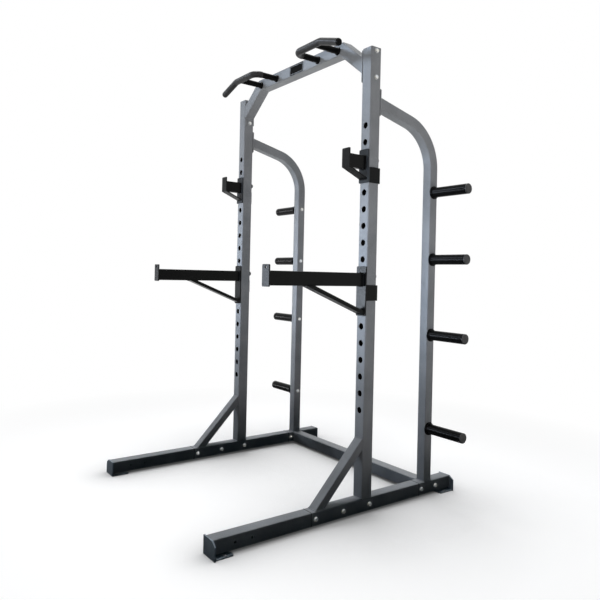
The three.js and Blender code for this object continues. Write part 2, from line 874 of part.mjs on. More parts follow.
pegHeights.forEach((height, i) => {
  const x = postSize / 2;
  addPair(`plate_peg_${i + 1}`, skin(platePeg()), darkCoat, x, postSetback, height);
  addPair(`peg_bolt_${i + 1}`, skin(pegBolt()), zinc, 0, postSetback, height);
});
[...frontBolts, ...rearBolts].forEach((y, i) => {
  addPair(`rail_bolt_${i + 1}`, skin(railBolt()), zinc, 0, y, railMiddle);
});
beamBoltHeights.forEach((z, i) => {
  addPair(`beam_bolt_${i + 1}`, skin(beamBolt()), zinc, 0, uprightMiddle, z);
});

// The handles are modelled about the middle of the beam, and hang in a group of their own
const handleGeometry = skin(pullupHandle());
const capGeometry = skin(handleCap());
const line = handleLine();
const tip = line[3];
const tipLeg = tip.clone().sub(line[2]).normalize();
for (const side of sides) {
  const right = side.turn > 0;
  const bar = right ? handleGeometry.clone() : mirrored(handleGeometry);
  addMesh(middle, `${side.name}_pullup_handle`, bar, darkCoat);
  const leg = at(side.turn * tipLeg.x, tipLeg.y, tipLeg.z);
  const cap = addMesh(middle, `${side.name}_handle_cap`, capGeometry.clone(), blackPlastic);
  cap.quaternion.setFromUnitVectors(alongX, leg);
  cap.position.set(side.turn * tip.x, tip.y, tip.z);
}

// Hooks hang with their pins in chosen holes of the column
const hookHeight = pinHeights[pinHoleCount - 1 - holesAboveHookCount];
const spotterHeight = pinHeights[holesBelowSpotterCount];
addPair("bar_hook", skin(barHook()), darkCoat, 0, 0, hookHeight);
addPair("spotter_arm", skin(spotterArm()), darkCoat, 0, 0, spotterHeight);

export default rack;
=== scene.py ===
# %% [markdown]
# # A steel rack in a white studio
# The rack stands on two long base rails. Two uprights full of pin holes carry a bar hook and a
# spotter arm each, and two bent posts behind them carry the plate pegs. The steel already has
# its real size and its moving bodies. Here it gets its finishes and the fine work for a close
# look: round hole rims, smooth bends, turned pegs, hexagon bolts, grips and weld beads. Lengths
# are in metres, the floor is z = 0, the front is -Y and the right side is +X.

# %% Load the rack
import json
import math

import bmesh
import bpy
from mathutils import Matrix, Vector

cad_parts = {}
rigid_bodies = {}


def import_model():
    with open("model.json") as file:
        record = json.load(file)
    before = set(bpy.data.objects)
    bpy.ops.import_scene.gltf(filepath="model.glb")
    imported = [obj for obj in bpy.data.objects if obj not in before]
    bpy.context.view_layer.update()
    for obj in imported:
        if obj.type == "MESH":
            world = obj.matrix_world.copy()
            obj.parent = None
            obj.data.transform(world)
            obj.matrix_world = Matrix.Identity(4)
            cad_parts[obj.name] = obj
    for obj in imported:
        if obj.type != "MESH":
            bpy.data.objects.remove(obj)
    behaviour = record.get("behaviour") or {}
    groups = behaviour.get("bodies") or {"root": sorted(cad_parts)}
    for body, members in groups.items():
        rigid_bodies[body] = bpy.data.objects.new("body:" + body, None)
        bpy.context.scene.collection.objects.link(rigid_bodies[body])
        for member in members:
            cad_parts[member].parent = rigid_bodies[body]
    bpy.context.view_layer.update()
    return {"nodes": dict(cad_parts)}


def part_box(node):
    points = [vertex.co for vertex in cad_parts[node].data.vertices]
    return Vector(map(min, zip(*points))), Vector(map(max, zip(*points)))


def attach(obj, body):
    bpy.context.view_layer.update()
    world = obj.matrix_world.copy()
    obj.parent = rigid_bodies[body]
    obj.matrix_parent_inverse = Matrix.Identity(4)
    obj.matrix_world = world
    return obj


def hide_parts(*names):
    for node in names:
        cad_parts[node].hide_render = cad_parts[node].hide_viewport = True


for thing in list(bpy.data.objects):
    bpy.data.objects.remove(thing)
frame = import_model()
MM = 0.001
X, Y, Z = Vector((1, 0, 0)), Vector((0, 1, 0)), Vector((0, 0, 1))
SIDES = (("right", 1), ("left", -1))

# %% [markdown]
# ## The camera
# The picture is taken from the front right corner at chest height. The lens is aimed level, so
# the uprights stay parallel, and the frame is shifted down a little instead. A small roll
# matches the lean of the picture. A camera looks along its own -Z, so the three columns of its
# matrix are its right, its up and its back.

# %% Place the camera
CAMERA_PLACE = Vector((2.5116, -1.7338, 1.0614))
CAMERA_HEADING = math.radians(53.767)
CAMERA_ROLL = math.radians(1.287)
LENS_MM = 35.65
IMAGE_SHIFT = (0.0055, -0.042)


def camera_axes(heading, roll):
    ahead = Vector((-math.sin(heading), math.cos(heading), 0))
    level = Vector((math.cos(heading), math.sin(heading), 0))
    right = level * math.cos(roll) + Z * math.sin(roll)
    up = Z * math.cos(roll) - level * math.sin(roll)
    return right, up, -ahead


def show(thing):
    bpy.context.scene.collection.objects.link(thing)


camera_data = bpy.data.cameras.new("studio_camera")
camera_data.lens = LENS_MM
camera_data.shift_x, camera_data.shift_y = IMAGE_SHIFT
camera = bpy.data.objects.new("studio_camera", camera_data)
camera.matrix_world = (
    Matrix.Translation(CAMERA_PLACE)
    @ Matrix(camera_axes(CAMERA_HEADING, CAMERA_ROLL)).transposed().to_4x4()
)
show(camera)
bpy.context.scene.camera = camera
bpy.context.scene.view_settings.view_transform = "Standard"
print("camera stands", round(CAMERA_PLACE.xy.length, 2), "m from the middle")

# %% [markdown]
# ## Shader sums as plain sums
# A finish is easier to read when its maths looks like maths. The class below wraps one socket,
# and each operator adds the Math node that does it.

# %% A socket that can be added and multiplied


class Amount:
    """A number that varies over a surface: one output socket of a node."""

    def __init__(self, tree, socket):
        self.tree = tree
        self.socket = socket

    def maths(self, operation, *values, clamp=False):
        settings = {"operation": operation, "use_clamp": clamp}
        return self.tree.add("ShaderNodeMath", settings, dict(enumerate(values)))[0]

    def __add__(self, other):
        return self.maths("ADD", self, other)

    def __sub__(self, other):
        return self.maths("SUBTRACT", self, other)

    def __rsub__(self, other):
        return self.maths("SUBTRACT", other, self)

    def __mul__(self, other):
        return self.maths("MULTIPLY", self, other)

    __radd__ = __add__
    __rmul__ = __mul__

    def clamped(self):
        return self.maths("ADD", self, 0, clamp=True)

    def larger(self, other):
        return self.maths("MAXIMUM", self, other)

    def power(self, exponent):
        return self.maths("POWER", self, exponent)

    def over(self, low, high):
        """0 at low and below, 1 at high and above."""
        return ((self - low) * (1 / (high - low))).clamped()


class Outputs:
    """The sockets that come out of a node, by name or number."""

    def __init__(self, tree, node):
        self.tree = tree
        self.node = node

    def __getitem__(self, key):
        return Amount(self.tree, self.node.outputs[key])


# %% [markdown]
# ## Any other node
# A material and the world both keep their nodes in a tree, and one method adds any node to it.
# The settings go in first, because some of them change which sockets there are. Colours are
# blended by Mix nodes, because a Math node turns a colour grey.

# %% A tree that adds nodes


class Tree:
    """The nodes of a material or of the world."""

    def __init__(self, owner):
        owner.use_nodes = True
        self.nodes = owner.node_tree.nodes
        self.links = owner.node_tree.links
        self.nodes.clear()

    def add(self, kind, settings=None, inputs=None):
        node = self.nodes.new(kind)
        for key, value in (settings or {}).items():
            setattr(node, key, value)
        for key, value in (inputs or {}).items():
            if isinstance(value, Amount):
                self.links.new(value.socket, node.inputs[key])
            else:
                node.inputs[key].default_value = value
        return Outputs(self, node)

    def place(self):
        return self.add("ShaderNodeTexCoord")["Object"]

    def mix(self, share, first, second):
        """A colour between first and second."""
        inputs = {0: share, 6: first, 7: second}
        return self.add("ShaderNodeMix", {"data_type": "RGBA"}, inputs)[2]

    def noise(self, place, scale, detail, roughness=0.5):
        inputs = {"Vector": place, "Scale": scale, "Detail": detail, "Roughness": roughness}
        return self.add("ShaderNodeTexNoise", None, inputs)["Fac"]

    def bump(self, height, depth, strength):
        inputs = {"Height": height, "Distance": depth, "Strength": strength}
        return self.add("ShaderNodeBump", None, inputs)["Normal"]

    def surface(self, sockets):
        """A shader with these sockets, shown on the surface."""
        shader = self.add("ShaderNodeBsdfPrincipled", None, sockets)
        self.add("ShaderNodeOutputMaterial", None, {"Surface": shader["BSDF"]})


def grey(level, warmth=0.0):
    """A linear grey as a colour, warmer or cooler by a small share."""
    return (level * (1 + warmth), level, level * (1 - warmth), 1)


# %% [markdown]
# ## A white world
# Behind the rack there is only white. It adds no light to the rack: the world is white to the
# camera and in gloss, and a faint cool sky for the light that it casts. The kinds of ray tell
# the two apart.

# %% Light the world
SKY_LIGHT = 0.04
SKY_TINT = (0.4, 1.0, 1.4, 1)


def ray_kinds(tree):
    """Two masks: rays from the camera alone, and those together with gloss and transmission."""
    path = tree.add("ShaderNodeLightPath")
    camera_ray = path["Is Camera Ray"]
    seen = camera_ray.larger(path["Is Glossy Ray"]).larger(path["Is Transmission Ray"])
    return camera_ray, seen


def studio_world():
    world = bpy.data.worlds.new("studio")
    tree = Tree(world)
    direction = tree.add("ShaderNodeTexCoord")["Generated"]
    height = tree.add("ShaderNodeSeparateXYZ", None, {"Vector": direction})["Z"].clamped()
    _, seen = ray_kinds(tree)
    strength = seen + (1 - seen) * height * SKY_LIGHT
    tint = tree.mix(seen, SKY_TINT, grey(1))
    background = tree.add("ShaderNodeBackground", None, {"Color": tint, "Strength": strength})
    tree.add("ShaderNodeOutputWorld", None, {"Surface": background["Background"]})
    return world


bpy.context.scene.world = studio_world()
print("sky light:", SKY_LIGHT)

# %% [markdown]
# ## The floor
# Far from the rack the floor is exactly as white as the world, and its own glow lights the rack
# a little from below. Close to the rack it is painted and shows the shadows of the lamps, and its
# glow is darkened by a painted shadow wherever the rack hides the sky, which seats the rails on
# it. The distance from the middle fades the one into the other.

# %% Lay the floor
FLOOR_SIZE = 60.0
NEAR_FLOOR = (1.3, 2.6)
FAR_FLOOR_LIGHT = 1.35
FLOOR_BOUNCE = 0.02
FLOOR_PAINT = 0.30
FLOOR_GLOW = 0.85
FLOOR_ROUGHNESS = 0.9
CONTACT_REACH = 0.8
CONTACT_SAMPLES = 32
CONTACT_CURVE = 0.54


def studio_floor():
    material = bpy.data.materials.new("studio_floor")
    tree = Tree(material)
    camera_ray, seen = ray_kinds(tree)
    place = tree.place()
    distance = tree.add("ShaderNodeVectorMath", {"operation": "LENGTH"}, {0: place})["Value"]
    far = distance.over(*NEAR_FLOOR)
    contact = {"samples": CONTACT_SAMPLES}
    # Painted shadow: the glow that the camera sees is darkened by how much of the sky the rack hides.
    open_sky = tree.add("ShaderNodeAmbientOcclusion", contact, {"Distance": CONTACT_REACH})
    hidden = (1 - open_sky["AO"]).power(CONTACT_CURVE).clamped()
    shaded = tree.mix(hidden, grey(FLOOR_GLOW), grey(0))
    near_paint = tree.add("ShaderNodeBsdfPrincipled", None, {
        "Base Color": tree.mix(seen, grey(FLOOR_BOUNCE), grey(FLOOR_PAINT)),
        "Roughness": FLOOR_ROUGHNESS,
        "Specular IOR Level": 0.0,
        "Emission Color": tree.mix(camera_ray, grey(0), shaded),
        "Emission Strength": 1.0,
    })
    far_glow = tree.add("ShaderNodeEmission", None, {
        "Color": tree.mix(seen, grey(FAR_FLOOR_LIGHT), grey(1)),
        "Strength": 1.0,
    })
    shown = tree.add("ShaderNodeMixShader", None, {
        0: far, 1: near_paint["BSDF"], 2: far_glow["Emission"],
    })
    tree.add("ShaderNodeOutputMaterial", None, {"Surface": shown["Shader"]})
    return material


half = FLOOR_SIZE / 2
floor_mesh = bpy.data.meshes.new("floor")
corners = ((-half, -half, 0), (half, -half, 0), (half, half, 0), (-half, half, 0))
floor_mesh.from_pydata(corners, [], [(0, 1, 2, 3)])
floor_mesh.materials.append(studio_floor())
floor = bpy.data.objects.new("floor", floor_mesh)
show(floor)
print("floor:", FLOOR_SIZE, "m wide, painted to", NEAR_FLOOR[0], "m")

# %% [markdown]
# ## Lamps
# Each of six soft boxes has one task. The side box throws a tall narrow beam on the right side
# and hangs clear of the floor, so the low rails stay deep. The front box fills the faces that
# look forward. Two cool boxes at the front left draw the sheen on the fronts of the uprights,
# one for each half of their height. The slim peg box picks out the far rear post and its pegs.
# The wide top box lights the tops of the tubes.

# %% Hang the lamps
COOL = (0.87, 0.98, 1.17)
NEUTRAL = (1.0, 1.0, 1.02)
WARM = (1.12, 0.97, 1.03)


def soft_box(name, place, target, width, height, watts, spread, colour):
    """A rectangular lamp that looks at its target. The spread of its beam is in degrees."""
    data = bpy.data.lights.new(name, "AREA")
    data.shape = "RECTANGLE"
    data.size = width
    data.size_y = height
    data.energy = watts
    data.spread = math.radians(spread)
    data.color = colour
    lamp = bpy.data.objects.new(name, data)
    lamp.location = place
    lamp.rotation_euler = (Vector(target) - Vector(place)).to_track_quat("-Z", "Y").to_euler()
    show(lamp)


soft_box("side_box", (4.06, -1.09, 1.26), (0, 0.1, 1.26), 2.6, 2.08, 1.1, 4, WARM)
soft_box("front_box", (0.31, -3.59, 1.2), (0, 0.1, 1.2), 1.8, 0.6, 2.9, 20, COOL)
soft_box("low_left_box", (-2.46, -2.63, 0.9), (0, 0.1, 1.01), 1.2, 0.6, 3.9, 40, COOL)
soft_box("high_left_box", (-2.46, -2.63, 3.5), (0, 0.1, 2.18), 1.2, 0.6, 3.3, 40, COOL)
soft_box("peg_box", (-3.1, -1.25, 0.95), (-0.66, 0.5, 0.95), 0.3, 1.6, 0.32, 10, NEUTRAL)
soft_box("top_box", (-1.2, 0, 4.8), (-0.2, 0, 0), 3.2, 3.2, 22, 30, NEUTRAL)
print("lamps:", len(bpy.data.lights))

# %% [markdown]
# ## Powder coat
# The steel is sprayed with powder and baked. From a step away it is one smooth colour with a
# soft sheen. Close up it has a fine pebbled skin, tiny pale flakes in the powder, and faint
# clouds where the coat is thicker. Three noises at three scales do that: clouds of a hand's
# width, flakes under a millimetre and pebbles between them. The pebbles also drive the bump.

# %% One recipe for every coat
FINISHES = {}
CLOUDS_PER_M = 7
PEBBLES_PER_M = 520
FLAKES_PER_M = 1500
FLAKE_SPAN = (0.60, 0.72)
SHADE_SPAN = (0.34, 0.66)
CLOUD_SHARE, PEBBLE_SHARE = 0.65, 0.35
DARKER, LIGHTER = 0.80, 1.16
CLOUD_ROUGHNESS, PEBBLE_ROUGHNESS = 0.12, 0.14
PEBBLE_DEPTH = 0.12 * MM
PEBBLE_STRENGTH = 0.7
PAINTED_SHEEN_LEAST = 0.6
FADE = 0.4 * MM


def blank_finish(name):
    """A new finish under its name: its empty tree and the place on the surface."""
    FINISHES[name] = bpy.data.materials.new(f"{name}_finish")
    tree = Tree(FINISHES[name])
    return tree, tree.place()


def band(place, start, end):
    """1 from start to end, with a short fade at both."""
    return place.over(start, start + FADE) * (1 - place.over(end, end + FADE))


def powder_coat(name, colour, flake_colour, flakes, roughness, gloss, sheen, pebble=1.0, painted_sheen=None):
    """Painted sheen holds where a lighter grey is painted on as a reflection: its spans in Y and Z,
    and its colour.
    """
    tree, place = blank_finish(name)
    clouds = tree.noise(place, CLOUDS_PER_M, detail=4)
    pebbles = tree.noise(place, PEBBLES_PER_M, detail=3, roughness=0.6)
    flecks = tree.noise(place, FLAKES_PER_M, detail=1).over(*FLAKE_SPAN)
    darker = tuple(DARKER * part for part in colour[:3]) + (1,)
    lighter = tuple(min(LIGHTER * part, 1) for part in colour[:3]) + (1,)
    shade = (clouds * CLOUD_SHARE + pebbles * PEBBLE_SHARE).over(*SHADE_SPAN)
    base = tree.mix(flecks * flakes, tree.mix(shade, darker, lighter), flake_colour)
    # Painted reflection: the spans get a lighter, bluer grey, as if lit by the lamps in front.
    if painted_sheen:
        y_span, z_span, painted_sheen_colour = painted_sheen
        parts = tree.add("ShaderNodeSeparateXYZ", None, {"Vector": place})
        painted_sheen_mask = band(parts["Y"], *y_span) * band(parts["Z"], *z_span)
        painted_sheen_mask *= shade * (1 - PAINTED_SHEEN_LEAST) + PAINTED_SHEEN_LEAST
        base = tree.mix(painted_sheen_mask, base, painted_sheen_colour)
    smoothest = roughness - (CLOUD_ROUGHNESS + PEBBLE_ROUGHNESS) / 2
    varied = clouds * CLOUD_ROUGHNESS + pebbles * PEBBLE_ROUGHNESS + smoothest
    tree.surface({
        "Base Color": base,
        "Roughness": varied.clamped(),
        "Specular IOR Level": gloss,
        "Specular Tint": sheen,
        "Normal": tree.bump(pebbles, PEBBLE_DEPTH * pebble, PEBBLE_STRENGTH),
    })


# %% [markdown]
# ## The coats of this rack
# The frame is a cool grey. Its rails have a shaded copy of the same coat, with hardly any gloss,
# which paints shade on their low sides, and its feet a lighter, bluer copy, which paints the light
# that falls on them. Pegs and handles are black, and the hooks and arms charcoal. The back plates
# of the bar hooks get a painted reflection, a lighter grey: a span in Y and one in Z hold just
# those. The plate on the beam is matt. The tint of each sheen is painted: cool on the greys and the
# rails, as the cool light that they mirror, and a little warm on the hooks, against the cool lamps.

# %% Mix the coats
# Painted reflection colour: the cool tints stand for the cool light that the coat mirrors, and the
# warm hook tint works against the cool lamps.
BLUE_SHEEN = (0.82, 1.0, 1.14, 1)
RAIL_SHEEN = (0.55, 1.0, 1.35, 1)
HOOK_SHEEN = (1.02, 1.01, 0.94, 1)
FOOT_BLUE = (0.29, 0.335, 0.375, 1)
# The back plates of the bar hooks get a painted reflection: a lighter grey in these spans.
BACK_PLATE_PAINTED_SHEEN = ((68.2 * MM, 75 * MM), (1450 * MM, 1700 * MM), grey(0.05, -0.10))

powder_coat("grey_coat", grey(0.24, -0.03), grey(0.62), 0.5, 0.40, 0.20, BLUE_SHEEN)
# Painted shade: a copy of the frame coat with hardly any gloss and a bluer sheen darkens the low
# sides of the rails.
powder_coat("rail_painted_shade_coat", grey(0.27, -0.04), grey(0.5), 0.5, 0.40, 0.06, RAIL_SHEEN)
# Painted light: a lighter, bluer copy of the coat for the feet.
powder_coat("foot_painted_light_coat", FOOT_BLUE, grey(0.6), 0.5, 0.40, 0.10, RAIL_SHEEN)
powder_coat("black_coat", grey(0.003), grey(0.035), 0.4, 0.26, 0.05, grey(1))
powder_coat("hook_coat", grey(0.004, -0.12), grey(0.03), 0.3, 0.28, 0.10, HOOK_SHEEN, painted_sheen=BACK_PLATE_PAINTED_SHEEN)
powder_coat("plate_paint", grey(0.016), grey(0.04), 0.3, 0.8, 0.0, grey(1), pebble=0.5)
print("coats:", list(FINISHES))

# %% [markdown]
# ## Zinc plate, black plastic and grip rubber
# The bolts are bright zinc: a metal with a faint blue and yellow bloom and fine turning marks.
# The caps are moulded plastic, which is matt with a shallow grain and slightly polished spots.
# The grips are dark grey rubber with a coarser grain, a little smoother where hands wear it.

# %% Bolts, caps and grips
ZINC_BLUE = (0.60, 0.64, 0.68, 1)
ZINC_YELLOW = (0.72, 0.70, 0.63, 1)
BLOOM_PER_M, TURNING_MARKS_PER_M = 60, 900
POLISH_PER_M, PLASTIC_GRAIN_PER_M = 40, 1300
WEAR_PER_M, RUBBER_GRAIN_PER_M = 30, 900
ZINC_DEPTH, PLASTIC_DEPTH, RUBBER_DEPTH = 0.05 * MM, 0.06 * MM, 0.15 * MM


def zinc_plate():
    tree, place = blank_finish("zinc")
    bloom = tree.noise(place, BLOOM_PER_M, detail=3).over(0.35, 0.65)
    marks = tree.noise(place, TURNING_MARKS_PER_M, detail=4, roughness=0.7)
    tree.surface({
        "Base Color": tree.mix(bloom, ZINC_BLUE, ZINC_YELLOW),
        "Metallic": 1.0,
        "Roughness": marks * 0.25 + 0.18,
        "Normal": tree.bump(marks, ZINC_DEPTH, 0.6),
    })


def moulded_plastic():
    tree, place = blank_finish("black_plastic")
    grain = tree.noise(place, PLASTIC_GRAIN_PER_M, detail=2)
    polish = tree.noise(place, POLISH_PER_M, detail=2).over(0.4, 0.6)
    tree.surface({
        "Base Color": tree.mix(polish, grey(0.012), grey(0.022)),
        "Roughness": polish * -0.15 + grain * 0.2 + 0.5,
        "Normal": tree.bump(grain, PLASTIC_DEPTH, 0.8),
    })


def grip_rubber():
    tree, place = blank_finish("grip_rubber")
    grain = tree.noise(place, RUBBER_GRAIN_PER_M, detail=3, roughness=0.7)
    wear = tree.noise(place, WEAR_PER_M, detail=3).over(0.35, 0.65)
    tree.surface({
        "Base Color": tree.mix(grain * 0.6 + wear * 0.4, grey(0.012), grey(0.034)),
        "Roughness": wear * -0.12 + grain * 0.2 + 0.34,
        "Specular IOR Level": 0.20,
        "Normal": tree.bump(grain, RUBBER_DEPTH, 0.9),
    })


zinc_plate()
moulded_plastic()
grip_rubber()
print("finishes:", len(FINISHES))

# %% [markdown]
# ## Soft edges on the steel that is already there
# Every node keeps its shape and gets the finish of its slot, or its own where a part is coated
# differently or where a copy of the coat paints shade on the rails and light on the feet. Real
# steel has no razor edge, so a stack of modifiers softens it: the loose triangles are joined, flat
# areas become one face, each sharp edge gets a narrow round, and the normals lean towards the
# large faces so that they stay flat.

# %% Finish the loaded nodes
EDGE_ROUND = 0.9 * MM
EDGE_SEGMENTS = 2
SHARP = math.radians(30)
FLAT_WITHIN = math.radians(0.5)
MERGE_WITHIN = 0.01 * MM
LARGE_FACE_WEIGHT = 80
# Painted shade and light: the rails, legs and stubs get a shaded copy of the coat, the feet a lighter
# one.
OWN_FINISHES = {
    "base_rail": "rail_painted_shade_coat",
    "front_leg": "rail_painted_shade_coat",
    "rear_stub": "rail_painted_shade_coat",
    "front_foot": "foot_painted_light_coat",
    "rear_foot": "foot_painted_light_coat",
    "handle_cap": "black_coat",
}


def soften(thing, width=EDGE_ROUND):
    bevel = thing.modifiers.new("edges", "BEVEL")
    bevel.limit_method = "ANGLE"
    bevel.angle_limit = SHARP
    bevel.width = width
    bevel.segments = EDGE_SEGMENTS
    bevel.use_clamp_overlap = True
    thing.modifiers.new("shading", "WEIGHTED_NORMAL").weight = LARGE_FACE_WEIGHT


def finish_node(name, node):
    node.data.shade_smooth()
    own = OWN_FINISHES.get(name.split("_", 1)[-1])
    for coat in node.material_slots:
        coat.material = FINISHES[own or coat.material.name.split(".")[0]]
    weld = node.modifiers.new("join", "WELD")
    weld.merge_threshold = MERGE_WITHIN
    flat = node.modifiers.new("flat_faces", "DECIMATE")
    flat.decimate_type = "DISSOLVE"
    flat.angle_limit = FLAT_WITHIN
    soften(node)


for name, node in frame["nodes"].items():
    finish_node(name, node)
print("softened nodes:", len(frame["nodes"]))

# %% [markdown]
# ## Adding a piece
# A piece is a mesh, a body that it moves with, a finish and sometimes the node that it stands
# for.


def piece(name, mesh, body, finish, stands_for=None, edges=EDGE_ROUND):
    thing = bpy.data.objects.new(name, mesh)
    show(thing)
    mesh.shade_smooth()
    mesh.materials.clear()
    mesh.materials.append(FINISHES[finish])
    if edges:
        soften(thing, edges)
    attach(thing, body)
    if stands_for:
        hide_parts(stands_for)


# %% [markdown]
# ## Meshes from rings of points
# Nearly every new piece is a skin over rings of points: a profile turned about an axis, a bar
# along a path, or a tube that comes back through its own inside. A rounded rectangle is the
# outline of tubes, plates and many welds.

# %% Skins and outlines
CORNER_STEPS = 4
FINE_CORNER_STEPS = 6


def mesh_from(name, points, faces):
    mesh = bpy.data.meshes.new(name)
    mesh.from_pydata([tuple(point) for point in points], [], faces)
    work = bmesh.new()
    work.from_mesh(mesh)
    bmesh.ops.recalc_face_normals(work, faces=work.faces)
    work.to_mesh(mesh)
    work.free()
    return mesh


def faces_between(near, far, count):
    """The faces from one ring to the next, whose first points have these numbers."""
    besides = [(side + 1) % count for side in range(count)]
    return [(near + i, near + j, far + j, far + i) for i, j in enumerate(besides)]


def skin(name, rings, endless=False):
    """A closed mesh over rings of equally many points: it has two end faces or is endless."""
    count = len(rings[0])
    points = [point for ring in rings for point in ring]
    faces = []
    for number in range(len(rings) if endless else len(rings) - 1):
        faces += faces_between(number * count, (number + 1) % len(rings) * count, count)
    if not endless:
        faces.append(tuple(reversed(range(count))))
        faces.append(tuple(range(len(points) - count, len(points))))
    return mesh_from(name, points, faces)


def outline(centre, u, v, width, height, corner, steps=CORNER_STEPS):
    """A rounded rectangle round a centre, in the plane of u and v."""
    points = []
    for quarter, (a, b) in enumerate(((1, 1), (-1, 1), (-1, -1), (1, -1))):
        for step in range(steps + 1):
            turn = (quarter + step / steps) * math.pi / 2
            along = a * (width / 2 - corner) + corner * math.cos(turn)
            up = b * (height / 2 - corner) + corner * math.sin(turn)
            points.append(centre + u * along + v * up)
    return points


def slab(name, centre, width, height, thickness, corner):
    """A thin rounded plate that stands out from a face towards the front."""
    back = outline(centre, X, Z, width, height, corner, FINE_CORNER_STEPS)
    front = [point - Y * thickness for point in back]
    count = len(back)
    faces = [tuple(range(count)), tuple(reversed(range(count, 2 * count)))]
    return mesh_from(name, back + front, faces + faces_between(0, count, count))


# %% [markdown]
# ## Turned and swept pieces
# A turned piece needs an axis and a profile, and a swept one a path, with rounds where the bar
# is bent. The section is carried from point to point and turned only as far as the path turns,
# so that it never twists.

# %% Turn and sweep


def spokes(axis, across, count):
    """Directions evenly round an axis. The first one is across."""
    other = axis.cross(across)
    turns = [2 * math.pi * spoke / count for spoke in range(count)]
    return [across * math.cos(turn) + other * math.sin(turn) for turn in turns]


def turned(name, start, axis, profile, sides):
    """A profile of (distance along the axis, radius) turned about it."""
    around = spokes(axis, axis.orthogonal().normalized(), sides)
    return skin(name, [
        [start + axis * along + spoke * radius for spoke in around] for along, radius in profile
    ])


def rounded_path(corners, radii, steps):
    """A path whose inner corners are rounded to their radii."""
    path = [corners[0]]
    for before, corner, after, radius in zip(corners, corners[1:], corners[2:], radii):
        inward = (corner - before).normalized()
        outward = (after - corner).normalized()
        bend = inward.angle(outward)
        start = corner - inward * radius * math.tan(bend / 2)
        toward = (outward - inward * inward.dot(outward)).normalized()
        centre = start + toward * radius
        for step in range(steps + 1):
            turn = bend * step / steps
            path.append(centre - toward * radius * math.cos(turn) + inward * radius * math.sin(turn))
    path.append(corners[-1])
    return path


def swept(name, path, radii, sides, endless=False):
    """A round bar along a path, with a radius for each point."""
    count = len(path)
    ahead = []
    for i, place in enumerate(path):
        before = path[i - 1] if endless or i else place
        after = path[(i + 1) % count] if endless or i < count - 1 else place
        ahead.append((after - before).normalized())
    across = ahead[0].orthogonal().normalized()
    rings = []
    for place, direction, radius in zip(path, ahead, radii):
        across = (across - direction * across.dot(direction)).normalized()
        rings.append([place + spoke * radius for spoke in spokes(direction, across, sides)])
    return skin(name, rings, endless)


# %% [markdown]
# ## Cut and joined pieces
# Holes are cut, and a stub grows out of a bar, by an exact Boolean between two closed meshes.
# Pieces that only touch, like a washer and a bolt head, are kept in one mesh.

# %% Cut and join


def combined(name, mesh, tool, operation):
    """One closed mesh cut by another, or joined with it."""
    things = [bpy.data.objects.new(name, data) for data in (mesh, tool)]
    for thing in things:
        show(thing)
    step = things[0].modifiers.new("combine", "BOOLEAN")
    step.operation = operation
    step.object = things[1]
    step.solver = "EXACT"
    step.use_self = True
    depsgraph = bpy.context.evaluated_depsgraph_get()
    result = bpy.data.meshes.new_from_object(things[0].evaluated_get(depsgraph))
    for thing in things:
        bpy.data.objects.remove(thing)
    result.name = name
    return result


def joined(name, meshes):
    """Several meshes as one, each still closed by itself."""
    work = bmesh.new()
    for mesh in meshes:
        work.from_mesh(mesh)
    together = bpy.data.meshes.new(name)
    work.to_mesh(together)
    work.free()
    return together


# %% [markdown]
# ## Uprights with round holes
# The loaded upright has holes of a few flat sides. The real one is a square tube with rounded
# edges and holes burnt clean through the front and the rear wall. The new tube is a ring of
# walls, a comb of fine cylinders cuts all its holes at once, and the edge round runs round every
# rim, which catches the light. A thin black lining with the same holes is painted shade: it keeps
# the inside of the tube dark.

# %% Bore the uprights
TUBE = 60 * MM
TUBE_WALL = 3 * MM
TUBE_CORNER = 6 * MM
HOLE_SPAN = 28 * MM
HOLE_PITCH = 75 * MM
HOLE_COUNT = 18
HOLE_SIDES = 48
LOWEST_HOLE = 462 * MM
RIM_ROUND = 0.7 * MM
SHADE_LINING = 0.5 * MM
SHADE_LINING_GAP = 0.1 * MM
OVERRUN = 4 * MM


def standing_tube(name, low, high, wall, corner):
    """A square tube between two corners of its box, rounded outside and inside."""
    size = high - low
    foot = Vector(((low.x + high.x) / 2, (low.y + high.y) / 2, low.z))
    outer = outline(foot, X, Y, size.x, size.y, corner, FINE_CORNER_STEPS)
    width, depth = size.x - 2 * wall, size.y - 2 * wall
    inner = outline(foot, X, Y, width, depth, corner - wall, FINE_CORNER_STEPS)
    rise = Z * size.z
    rings = [outer, [point + rise for point in outer], [point + rise for point in inner], inner]
    return skin(name, rings, endless=True)


def drill_comb(low, high):
    """The cylinders that cut the pin holes of the upright in this box."""
    depth = high.y - low.y + 2 * OVERRUN
    profile = [(0, HOLE_SPAN / 2), (depth, HOLE_SPAN / 2)]
    drills = []
    for hole in range(HOLE_COUNT):
        start = Vector(((low.x + high.x) / 2, low.y - OVERRUN, LOWEST_HOLE + HOLE_PITCH * hole))
        drills.append(turned("drill", start, Y, profile, HOLE_SIDES))
    return joined("drills", drills)


for side, _ in SIDES:
    low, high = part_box(f"{side}_upright")
    comb = drill_comb(low, high)
    tube = standing_tube("tube", low, high, TUBE_WALL, TUBE_CORNER)
    bored = combined("bored", tube, comb, "DIFFERENCE")
    piece(f"{side}_bored_upright", bored, "frame", "grey_coat", f"{side}_upright", RIM_ROUND)
    # Painted shade: a black lining inside the tube, with the same holes.
    inset = (X + Y) * (TUBE_WALL + SHADE_LINING_GAP)
    lining = standing_tube("lining", low + inset, high - inset, SHADE_LINING, TUBE_CORNER - TUBE_WALL)
    bored_shade_lining = combined("bored_shade_lining", lining, comb, "DIFFERENCE")
    piece(f"{side}_upright_lining", bored_shade_lining, "frame", "black_coat", edges=0)
print("holes in each upright:", HOLE_COUNT, "faces:", len(bored.polygons))

